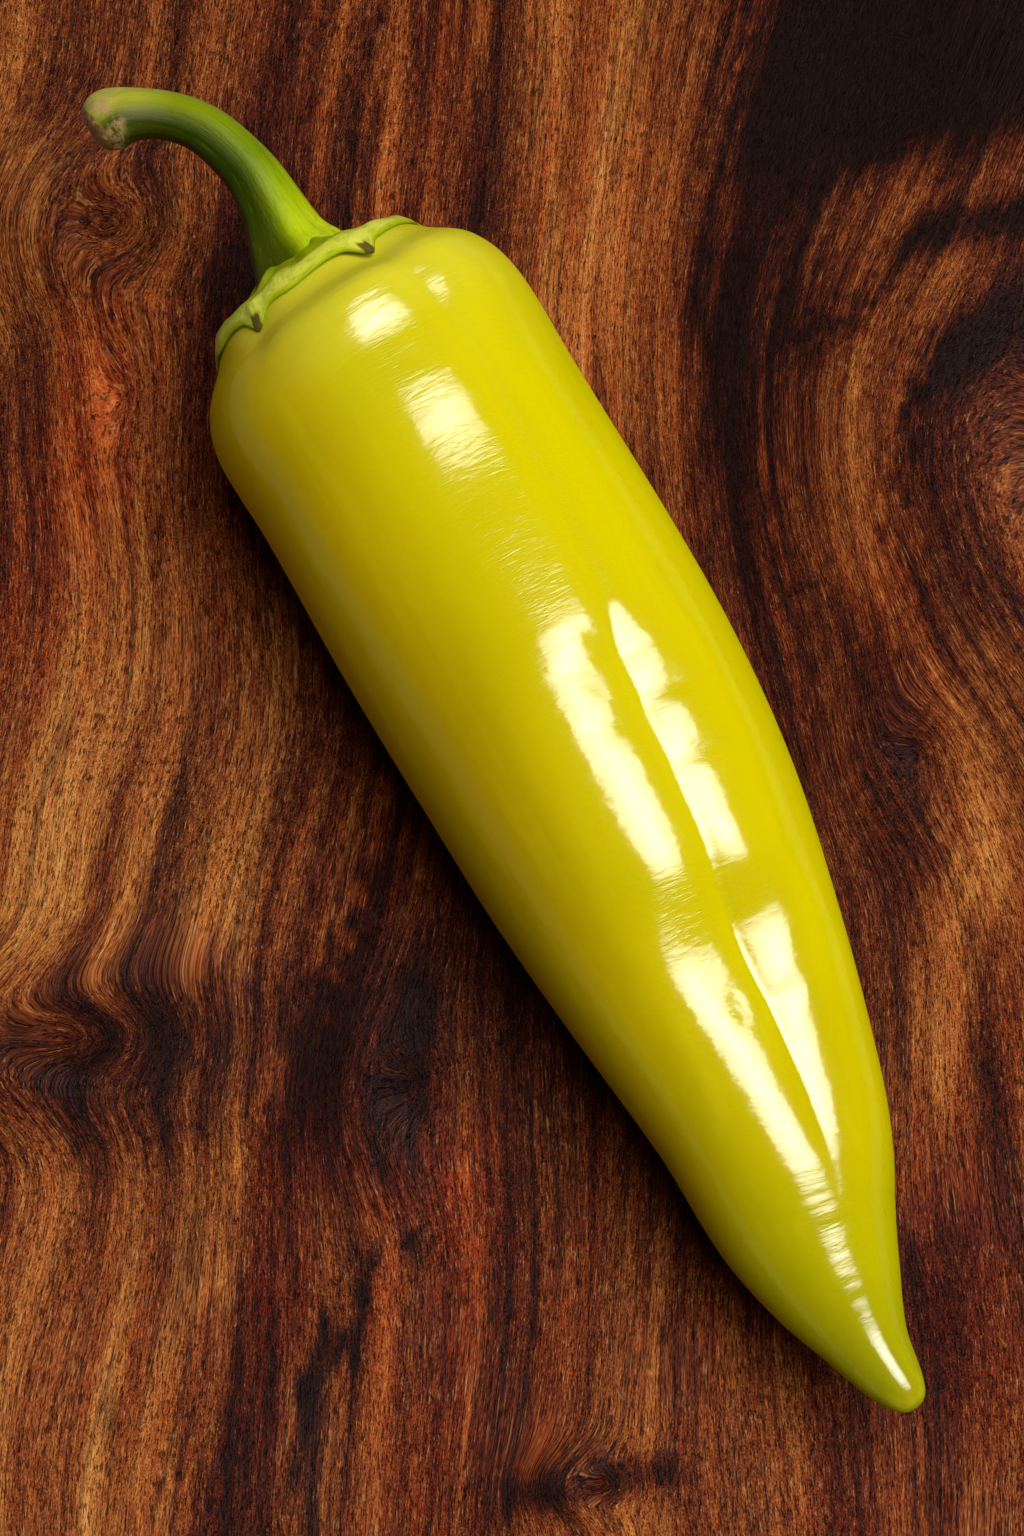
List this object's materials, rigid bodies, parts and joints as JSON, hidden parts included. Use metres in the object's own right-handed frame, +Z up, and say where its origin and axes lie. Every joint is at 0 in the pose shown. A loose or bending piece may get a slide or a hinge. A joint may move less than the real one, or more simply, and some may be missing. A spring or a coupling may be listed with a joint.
{
  "type": "banana pepper on a board",
  "caption": "Whole banana pepper with its calyx and stem, lying on a plain rectangular wooden board with rounded corners.",
  "frame": {"origin": "middle of the board's underside", "axes": "+Y along the board's grain and its longest side, +Z up, +X to the right seen from above; the pepper's stem end is towards +Y"},
  "size_m": [0.178, 0.254, 0.0628],
  "materials": {
    "board_wood": "oiled dark figured hardwood",
    "pepper_skin": "glossy waxy skin",
    "pepper_calyx": "satin green",
    "pepper_stem": "satin green, ribbed"
  },
  "bodies": {
    "root": {"board": "board_wood", "fruit": "pepper_skin", "calyx": "pepper_calyx", "stem": "pepper_stem"}
  },
  "joints": []
}
